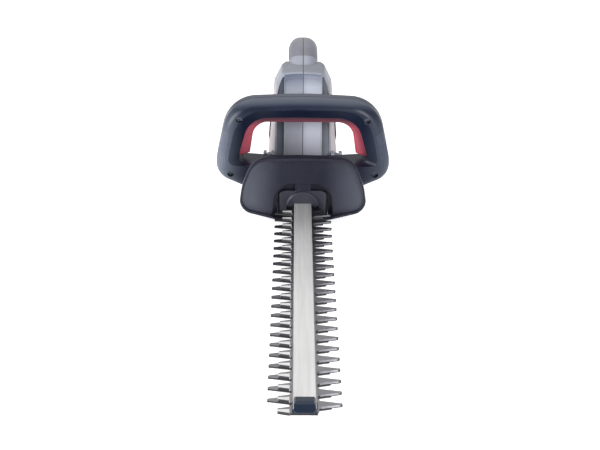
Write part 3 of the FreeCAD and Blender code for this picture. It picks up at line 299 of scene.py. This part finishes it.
def steel(name, colour, roughness, along=(1, 1, 1), scratch=0.35, metallic=1.0, stain=0.25):
    """Metal with brushing along one direction, fine scratches and a few darker spots."""
    t = Tree(name)
    brushed = t.noise(260.0, 5.0, 0.65, t.mapped(along))
    hair = t.noise(900.0, 3.0, 0.6, t.mapped(along))
    broad = t.noise(14.0, 4.0)
    spots = t.spread(t.noise(160.0, 6.0, 0.7), 0.60, 0.72)
    base = t.blend(t.spread(brushed, 0.3, 0.7), tinted(colour, 0.88), tinted(colour, 1.08))
    base = t.blend(t.times(t.spread(broad, 0.45, 0.7), stain), base, tinted(colour, 0.6))
    base = t.blend(t.times(spots, stain * 0.6), base, tinted(colour, 0.45))
    t.surface("Base Color", base)
    t.surface("Metallic", metallic)
    t.surface("Roughness", t.streaky(brushed, broad, roughness - 0.06, roughness + 0.08))
    t.relief([(brushed, scratch, FINE), (hair, scratch, HAIRLINE)], 0.0003)
    return t.material


def blade_steel(name):
    """Dark stamped blade. The front part of each short tooth is ground and painted bright as a highlight; the
    upright and slanted faces get painted shade, and the top faces a painted shade that deepens towards the
    far end.
    """
    t = Tree(name)
    x, y, z, aside = t.position()
    lift = t.lift("True Normal")
    brushed = t.noise(420.0, 5.0, 0.65, t.mapped((0.15, 1.0, 1.0)))
    hair = t.noise(1200.0, 3.0, 0.6, t.mapped((0.1, 1.0, 1.0)))
    broad = t.noise(30.0, 5.0, 0.6)
    spots = t.spread(t.noise(240.0, 6.0, 0.7), 0.60, 0.74)

    level = t.above(lift, 0.97)
    slanted = t.above(lift, 0.3)
    turns = t.math("DIVIDE", t.math("SUBTRACT", y, FIRST_TOOTH_Y - TOOTH_PITCH * 0.5), TOOTH_PITCH)
    offset = t.times(t.math("SUBTRACT", t.math("FRACT", turns), 0.5), TOOTH_PITCH)
    half = t.spread(aside, TOOTH_ROOT_X, TOOTH_TIP_X,
                    TOOTH_ROOT_HALF - TOOTH_ROOT_BEVEL, TOOTH_TIP_HALF - TOOTH_TIP_BEVEL)
    in_front = t.above(offset, t.times(half, -1.0))
    not_back = t.below(offset, t.times(half, 0.25))
    short_teeth = t.times(level, t.above(z, UPPER_BLADE_Z), t.below(x, SHORT_TEETH_X))
    # painted highlight: the front of each short tooth's top face is made bright, less metallic and rougher
    ground_highlight = t.times(in_front, not_back, short_teeth)

    dark = t.blend(t.spread(brushed, 0.3, 0.7), rgb(0.20, 0.195, 0.205), rgb(0.28, 0.275, 0.285))
    dark = t.blend(t.times(t.spread(broad, 0.45, 0.75), 0.4), dark, rgb(0.12, 0.115, 0.12))
    # painted shade on the top faces, deepening towards the far end
    dark = t.blend(t.spread(y, BLADE_PALE_Y, BLADE_DARK_Y, 0.0, 0.85), dark, rgb(0.035, 0.035, 0.050))
    bright = t.blend(t.spread(hair, 0.3, 0.7), rgb(0.58, 0.56, 0.56), rgb(0.68, 0.66, 0.66))
    # painted shade on the upright and slanted faces, darkest on the upright ones
    shaded_faces = t.blend(slanted, rgb(0.030, 0.028, 0.032), rgb(0.085, 0.083, 0.088))
    base = t.blend(level, shaded_faces, dark)
    base = t.blend(ground_highlight, base, bright)
    base = t.blend(t.times(spots, 0.25), base, rgb(0.08, 0.075, 0.07))
    t.surface("Base Color", base)
    t.surface("Metallic", t.math("SUBTRACT", 0.85, t.times(ground_highlight, 0.65)))
    t.surface("Roughness", t.math("ADD", t.streaky(brushed, broad, 0.28, 0.42), t.times(ground_highlight, 0.2)))
    t.relief([(brushed, 0.35, FINE), (hair, 0.35, HAIRLINE)])
    return t.material


def housing_skin(name, colour):
    """Grey moulding of the body, with light and shade painted on it.

    Its central panel gets painted shade under the hood's arch and at its foot, and painted light on its
    upright faces, stronger on its right half. A pale pinkish painted reflection runs up each side behind the
    loop's foot, and faces that look up get painted shade. These follow the photograph's light, and stay in
    every view.
    """
    t = Tree(name)
    x, y, z, aside = t.position()
    lift = t.lift()
    broad = t.noise(22.0, 4.0)
    patch = t.noise(95.0, 5.0, 0.6)
    fine = t.noise(2200.0, 2.0, 0.6)
    pits = t.cells(1200.0)

    upright = t.spread(lift, 0.55, 0.75, 1.0, 0.0)
    panel = t.times(t.below(aside, PANEL_HALF), t.below(y, PANEL_BACK_Y), upright)
    right = t.times(t.spread(x, PANEL_MIDDLE_FROM, PANEL_MIDDLE_TO), panel)
    arch = t.math("ADD", z, t.times(aside, aside, ARCH_CURVE))
    arch_shadow = t.times(t.spread(arch, ARCH_LOW, ARCH_HIGH), panel)
    foot = t.times(t.spread(z, FOOT_LOW, FOOT_HIGH, 1.0, 0.0), panel)
    side_reflection = t.times(t.above(aside, REFLECTION_X), t.below(y, REFLECTION_BACK_Y), t.above(y, REFLECTION_FRONT_Y))

    base = t.mottled(broad, colour, 0.92, 1.08)
    # painted light on the panel's upright faces, stronger on its right half
    base = t.blend(panel, base, tinted(colour, 1.15))
    base = t.blend(right, base, tinted(colour, 1.65))
    # painted reflection: a pale pinkish strip up each side behind the loop's foot
    base = t.blend(t.times(side_reflection, 0.8), base, rgb(0.42, 0.36, 0.375))
    # painted shade at the panel's foot
    base = t.blend(t.times(foot, 0.75), base, tinted(colour, 0.30))
    # painted shadow under the hood's arch
    base = t.blend(t.times(arch_shadow, 0.85), base, rgb(0.045, 0.062, 0.110))
    base = t.blend(t.times(t.rubbed(0.0009, patch), 0.5), base, tinted(colour, 1.5))
    base = t.blend(t.below(aside, CENTRE_LINE_HALF), base, rgb(0.035, 0.038, 0.050))
    # painted shade on faces that look up
    base = t.blend(t.times(t.spread(lift, 0.80, 0.97), 0.35), base, tinted(colour, 0.55))
    t.surface("Base Color", base)
    t.surface("Roughness", t.patchy(broad, patch, 0.36, 0.48))
    t.relief([(pits, 0.3, GRAIN), (fine, 0.3, GRAIN), (patch, 0.06, DENTS)], 0.0005)
    return t.material


def flank_skin(name, near, far):
    """Dark side inlays with painted shade, darkest next to the central panel and fading outwards."""
    t = Tree(name)
    broad = t.noise(22.0, 4.0)
    pits = t.cells(1400.0)
    base = t.blend(t.spread(t.position()[3], FLANK_INNER, FLANK_OUTER), near, far)
    base = t.blend(t.times(t.spread(broad, 0.4, 0.7), 0.2), base, tinted(near, 0.7))
    t.surface("Base Color", base)
    t.surface("Roughness", t.spread(broad, 0.3, 0.7, 0.38, 0.48))
    t.relief([(pits, 0.3, GRAIN)], 0.0004)
    return t.material


def bar_skin(name, colour, shade):
    """Red moulding of the switch bar, with painted shade where it runs up inside the loop."""
    t = Tree(name)
    z = t.position()[2]
    broad = t.noise(24.0, 4.0)
    patch = t.noise(110.0, 5.0, 0.6)
    pits = t.cells(1400.0)
    base = t.mottled(broad, colour, 0.92, 1.08)
    base = t.blend(t.spread(z, BAR_SHADE_LOW, BAR_SHADE_HIGH), base, shade)
    base = t.blend(t.times(t.edge(0.0010), 0.4), base, tinted(colour, 1.4))
    t.surface("Base Color", base)
    t.surface("Roughness", t.spread(patch, 0.3, 0.7, 0.38, 0.48))
    t.surface("Specular IOR Level", 0.35)
    t.relief([(pits, 0.3, GRAIN), (patch, 0.06, DENTS)], 0.0005)
    return t.material


def satin(name, colour, sheen_and_wear, roughness, inner, outer, side_gain, specular=0.25, band=0.35):
    """Smooth dark plastic with a painted sheen that grows from inner to outer and is strongest on the left,
    and a painted highlight in a band where its top turns up.

    side_gain is how much of the painted sheen the right side has, and band how strong the painted highlight
    band is.
    """
    t = Tree(name)
    x, y, z, aside = t.position()
    lift = t.lift()
    broad = t.noise(18.0, 4.0)
    patch = t.noise(80.0, 5.0, 0.6)
    fine = t.noise(2400.0, 2.0, 0.6)
    pits = t.cells(1500.0)

    # painted sheen that grows outwards, strongest on the left, and kept off the guard's front face
    outward = t.math("POWER", t.spread(aside, inner, outer), 1.3)
    leftness = t.spread(x, SIDE_LEFT, SIDE_RIGHT, 1.0, side_gain)
    behind_rim = t.spread(y, GUARD_FRONT_Y, GUARD_RIM_Y)
    sides = t.times(outward, leftness, t.spread(broad, 0.3, 0.7, 0.85, 1.1), behind_rim)
    # painted highlight where the top turns up, within a band of heights
    turned_up = t.math("POWER", t.spread(lift, 0.42, 0.92), 1.6)
    band_highlight = t.times(turned_up, t.times(t.spread(z, BAND_LOW, BAND_HIGH), band))
    painted_light = t.math("MAXIMUM", sides, band_highlight)

    base = t.mottled(patch, colour, 0.90, 1.12)
    base = t.blend(painted_light, base, sheen_and_wear)
    base = t.blend(t.times(t.rubbed(0.0008, patch), 0.35), base, tinted(sheen_and_wear, 1.2))
    t.surface("Base Color", base)
    t.surface("Roughness", t.patchy(broad, patch, roughness - 0.04, roughness + 0.06))
    t.surface("Specular IOR Level", specular)
    t.relief([(pits, 0.2, GRAIN), (fine, 0.2, GRAIN)], 0.0006)
    return t.material


def cast(name, colour, roughness, metallic):
    """Sand-like skin of a painted die casting."""
    t = Tree(name)
    lumps = t.noise(420.0, 5.0, 0.6)
    fine = t.noise(2400.0, 3.0)
    broad = t.noise(25.0, 4.0)
    base = t.mottled(broad, colour, 0.85, 1.15)
    base = t.blend(t.times(t.edge(0.0010), 0.5), base, tinted(colour, 3.0))
    t.surface("Base Color", base)
    t.surface("Metallic", metallic)
    t.surface("Roughness", t.spread(lumps, 0.3, 0.7, roughness - 0.07, roughness + 0.1))
    t.relief([(lumps, 0.35, SAND), (fine, 0.3, GRAIN)], 0.0006)
    return t.material


def windings(name, colour):
    """Enamelled wire laid side by side."""
    t = Tree(name)
    wave = t.nodes.new("ShaderNodeTexWave")
    wave.bands_direction = "Z"
    wave.inputs["Scale"].default_value = 650.0
    wave.inputs["Distortion"].default_value = 0.6
    t.join(t.coords, wave.inputs["Vector"])
    strands = wave.outputs["Fac"]
    t.surface("Base Color", t.blend(strands, tinted(colour, 0.55), tinted(colour, 1.15)))
    t.surface("Metallic", 0.8)
    t.surface("Roughness", t.spread(t.noise(120.0), 0.3, 0.7, 0.25, 0.4))
    t.relief([(strands, 0.8, STRANDS)])
    return t.material


GREY = rgb(0.235, 0.245, 0.285)
NAVY = rgb(0.006, 0.009, 0.022)
GUARD = rgb(0.008, 0.009, 0.018)
RED = rgb(0.36, 0.055, 0.085)

# scale of the brushing on x, y and z: it runs along the axis with the small value
ALONG_Y = (1.0, 0.03, 1.0)
ALONG_Z = (1, 1, 0.1)
LAMINATED = (0.05, 0.05, 1)

looks = {
    "grey_housing": housing_skin("grey_housing_look", GREY),
    # slate inlays: near is the painted shade beside the panel, far the colour further out
    "slate_plastic": flank_skin("slate_plastic_look", near=rgb(0.030, 0.036, 0.052),
                                far=rgb(0.10, 0.112, 0.14)),
    "soft_grip": soft_rubber("soft_grip_look", rgb(0.16, 0.16, 0.19)),
    "navy_plastic": satin("navy_plastic_look", NAVY, sheen_and_wear=rgb(0.105, 0.120, 0.155), roughness=0.34,
                          inner=74 * MM, outer=107 * MM, side_gain=0.42, specular=0.22, band=0.58),
    "guard_plastic": satin("guard_plastic_look", GUARD, sheen_and_wear=rgb(0.090, 0.098, 0.122), roughness=0.36,
                           inner=26 * MM, outer=76 * MM, side_gain=0.60, specular=0.25, band=0.0),
    "red_plastic": bar_skin("red_plastic_look", RED, shade=rgb(0.075, 0.020, 0.034)),
    "tip_plastic": moulded("tip_plastic_look", rgb(0.006, 0.012, 0.026), 0.20, grain_strength=0.08,
                           specular=0.35, coat=0.12, wear=3.0, edge_radius=0.0014),
    "bar_steel": steel("bar_steel_look", rgb(0.70, 0.69, 0.68), 0.46, ALONG_Y, stain=0.12, metallic=0.75),
    "blade_steel": blade_steel("blade_steel_look"),
    "cast_alloy": cast("cast_alloy_look", rgb(0.014, 0.015, 0.024), 0.42, metallic=0.1),
    "cover_plate": steel("cover_plate_look", rgb(0.45, 0.45, 0.46), 0.38, ALONG_Y, stain=0.3),
    "machined_steel": steel("machined_steel_look", rgb(0.55, 0.55, 0.56), 0.25, ALONG_Z),
    "bronze": steel("bronze_look", rgb(0.52, 0.33, 0.15), 0.42, stain=0.3),
    "fastener_steel": steel("fastener_steel_look", rgb(0.10, 0.11, 0.14), 0.26, scratch=0.2),
    "laminated_steel": steel("laminated_steel_look", rgb(0.20, 0.20, 0.21), 0.45, LAMINATED, scratch=0.8),
    "copper": windings("copper_look", rgb(0.62, 0.27, 0.12)),
    "carbon": cast("carbon_look", rgb(0.03, 0.03, 0.03), 0.55, metallic=0.1),
    "inner_plastic": moulded("inner_plastic_look", rgb(0.05, 0.05, 0.055), 0.45),
    "gland_rubber": soft_rubber("gland_rubber_look", rgb(0.018, 0.018, 0.018)),
}

slots = {part["node"]: part["material_slot"] for part in frame["record"]["subparts"]}
for node, piece in frame["nodes"].items():
    piece.data.materials.clear()
    piece.data.materials.append(looks[slots[node]])


# ---------------------------------------------------------------- added pieces
def skin_of(node):
    """A tree for finding the surface of a CAD node."""
    mesh = frame["nodes"][node].data
    corners = [v.co.copy() for v in mesh.vertices]
    return BVHTree.FromPolygons(corners, [tuple(p.vertices) for p in mesh.polygons])


def hit(skin, start, way):
    """Where a ray meets a skin, and the normal that faces the ray; None and None for a miss."""
    spot, normal = skin.ray_cast(start, way)[:2]
    if spot is None:
        return None, None
    return spot, normal if normal.dot(way) < 0 else -normal


def add_piece(name, form, body, look):
    bmesh.ops.recalc_face_normals(form, faces=form.faces)
    mesh = bpy.data.meshes.new(name)
    form.to_mesh(mesh)
    form.free()
    for face in mesh.polygons:
        face.use_smooth = True
    mesh.materials.append(look)
    piece = bpy.data.objects.new(name, mesh)
    bpy.context.scene.collection.objects.link(piece)
    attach(piece, body)


def ridge(form, places, normals, half_width, height, sink, taper):
    """A rounded ridge along a path on a surface, sunk into it and fading out at both ends."""
    count = len(places)
    sides = 8
    end_width = 0.45                 # share of the width that is left at the ends
    least = 0.00002                  # height at the ends, in metres
    rings = []
    for i, (place, normal) in enumerate(zip(places, normals)):
        ahead = places[min(i + 1, count - 1)] - places[max(i - 1, 0)]
        across = ahead.cross(normal).normalized()
        rise = min(1.0, min(i, count - 1 - i) / max(1.0, taper))
        rise = rise * rise * (3 - 2 * rise)
        wide = half_width * (end_width + (1 - end_width) * rise)
        ring = []
        for k in range(sides):
            turn = math.pi * k / (sides - 1)
            foot = sink if k in (0, sides - 1) else 0.0
            up = (height * rise + least) * math.sin(turn) - foot
            ring.append(form.verts.new(place + across * (wide * math.cos(turn)) + normal * up))
        rings.append(ring)
    for first, second in zip(rings, rings[1:]):
        for k in range(sides - 1):
            form.faces.new((first[k], first[k + 1], second[k + 1], second[k]))
        form.faces.new((first[-1], first[0], second[0], second[-1]))
    form.faces.new(list(reversed(rings[0])))
    form.faces.new(rings[-1])


def loop_ribs():
    """Fine upright ribs for grip on the two front corners of the loop."""
    ribs, steps = 8, 24
    first_turn, turn_step = 12.0, 8.2            # degrees round the corner
    top, top_drop, highest_rib = 99.0, 1.2, 4
    bottom, bottom_rise, lowest_rib = 46.0, 0.9, 5
    corner = 13.0 * MM
    outside, clear = 0.2, 0.05                   # metres from which the surface is looked for

    skin = skin_of("handle_front_shell")
    centre_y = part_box("handle_front_shell")[0].y + corner
    form = bmesh.new()
    for side in (-1, 1):
        for k in range(ribs):
            turn = math.radians(first_turn + turn_step * k)
            way = Vector((side * math.sin(turn), -math.cos(turn), 0.0))
            high = top - top_drop * abs(k - highest_rib)
            low = bottom + bottom_rise * abs(k - lowest_rib)
            places, normals = [], []
            for i in range(steps):
                height = (low + (high - low) * i / (steps - 1)) * MM
                edge = hit(skin, Vector((side * outside, centre_y, height)), Vector((-side, 0, 0)))[0]
                if edge is None:
                    continue
                middle = Vector((edge.x - side * corner, centre_y, height))
                spot, normal = hit(skin, middle + way * clear, -way)
                if spot is None:
                    continue
                places.append(spot)
                normals.append(normal)
            ridge(form, places, normals, half_width=0.60 * MM, height=0.50 * MM, sink=0.25 * MM, taper=9.0)
    # the ribs are painted lighter than the loop as a highlight on their ridges, and carry the painted sheen
    # too
    rib_highlight_look = satin("rib_look", tinted(NAVY, 2.5), sheen_and_wear=rgb(0.170, 0.185, 0.225), roughness=0.30,
                     inner=80 * MM, outer=107 * MM, side_gain=0.35, specular=0.3)
    add_piece("loop_ribs", form, "body", rib_highlight_look)


def side_shade_lines():
    """Thin dark ridge up the front corner of the body's two sides, put there as painted shade for the dark
    line along the body's edge.
    """
    steps = 20
    bottom, step = 53.0, 2.6
    foot_y, foot_z, lean = 35.0, 36.0, 0.19      # the line leans back as it rises
    outside = 0.2                                # metres from which the surface is looked for

    form = bmesh.new()
    for side, node in ((-1, "housing_left"), (1, "housing_right")):
        skin = skin_of(node)
        places, normals = [], []
        for i in range(steps):
            height = (bottom + step * i) * MM
            start = Vector((side * outside, (foot_y + lean * (height / MM - foot_z)) * MM, height))
            spot, normal = hit(skin, start, Vector((-side, 0, 0)))
            if spot is None:
                continue
            places.append(spot)
            normals.append(normal)
        ridge(form, places, normals, half_width=2.0 * MM, height=1.7 * MM, sink=0.4 * MM, taper=3.0)
    add_piece("side_shade_lines", form, "body", looks["guard_plastic"])


loop_ribs()
side_shade_lines()


# ---------------------------------------------------------------- floor, light and camera
def floor_material():
    """White sweep that glows a little, so that it stays white away from the lights."""
    t = Tree("floor_look")
    speck = t.noise(60.0, 6.0, 0.6)
    t.surface("Base Color", t.blend(t.spread(speck, 0.4, 0.6), rgb(0.86, 0.86, 0.86), rgb(0.89, 0.89, 0.89)))
    t.surface("Roughness", t.spread(speck, 0.3, 0.7, 0.75, 0.85))
    t.surface("Specular IOR Level", 0.2)
    t.surface("Emission Color", rgb(1.0, 1.0, 1.0))
    t.surface("Emission Strength", 0.60)
    return t.material


def make_floor():
    half_size, gap = 9.0, 0.0005
    mesh = bpy.data.meshes.new("floor")
    form = bmesh.new()
    bmesh.ops.create_grid(form, x_segments=2, y_segments=2, size=half_size)
    form.to_mesh(mesh)
    form.free()
    floor = bpy.data.objects.new("floor", mesh)
    floor.location = (0, 0, cad_low.z - gap)
    mesh.materials.append(floor_material())
    bpy.context.scene.collection.objects.link(floor)


def softbox(name, place, target, width, height, power, colour=(1, 1, 1)):
    data = bpy.data.lights.new(name, "AREA")
    data.shape = "RECTANGLE"
    data.size = width
    data.size_y = height
    data.energy = power
    data.color = colour
    lamp = bpy.data.objects.new(name, data)
    lamp.location = place
    aim = Vector(target) - Vector(place)
    lamp.rotation_euler = aim.to_track_quat("-Z", "Y").to_euler()
    bpy.context.scene.collection.objects.link(lamp)


def make_world():
    world = bpy.data.worlds.new("studio")
    world.use_nodes = True
    backdrop = world.node_tree.nodes["Background"]
    backdrop.inputs["Color"].default_value = (0.96, 0.97, 1.0, 1.0)
    backdrop.inputs["Strength"].default_value = 0.30
    bpy.context.scene.world = world


def make_camera():
    """The photograph's camera, solved from the teeth. Angles are in radians, its place in mm."""
    pitch, yaw, roll = 0.4228, 0.00627, 0.0104
    place = (-11.56, -1456.1, 602.8)
    ahead = Vector((math.sin(yaw) * math.cos(pitch), math.cos(yaw) * math.cos(pitch), -math.sin(pitch)))
    level = Vector((math.cos(yaw), -math.sin(yaw), 0.0))
    up = level.cross(ahead)
    right = math.cos(roll) * level + math.sin(roll) * up
    top = -math.sin(roll) * level + math.cos(roll) * up
    data = bpy.data.cameras.new("camera")
    data.sensor_width = 36.0
    data.lens = 72.0
    data.clip_start = 0.05
    data.clip_end = 40.0
    camera = bpy.data.objects.new("camera", data)
    turn = Matrix((right, top, -ahead)).transposed().to_4x4()
    camera.matrix_world = Matrix.Translation(Vector(place) * MM) @ turn
    bpy.context.scene.collection.objects.link(camera)
    bpy.context.scene.camera = camera


bpy.context.scene.view_settings.view_transform = "Standard"
make_floor()
make_world()
make_camera()
softbox("left_softbox", place=(-1.8, -1.2, 0.7), target=(0, -0.1, 0.06), width=0.9, height=1.1, power=52)
softbox("right_softbox", place=(1.0, -2.0, 0.9), target=(0, 0.0, 0.06), width=0.8, height=1.0, power=42,
        colour=(0.95, 0.97, 1.0))
softbox("back_softbox", place=(0.0, 2.2, 2.0), target=(0, 0, 0.05), width=3.6, height=2.4, power=24)
softbox("top_softbox", place=(0.0, -0.3, 2.4), target=(0, -0.1, 0.0), width=2.4, height=2.4, power=18)
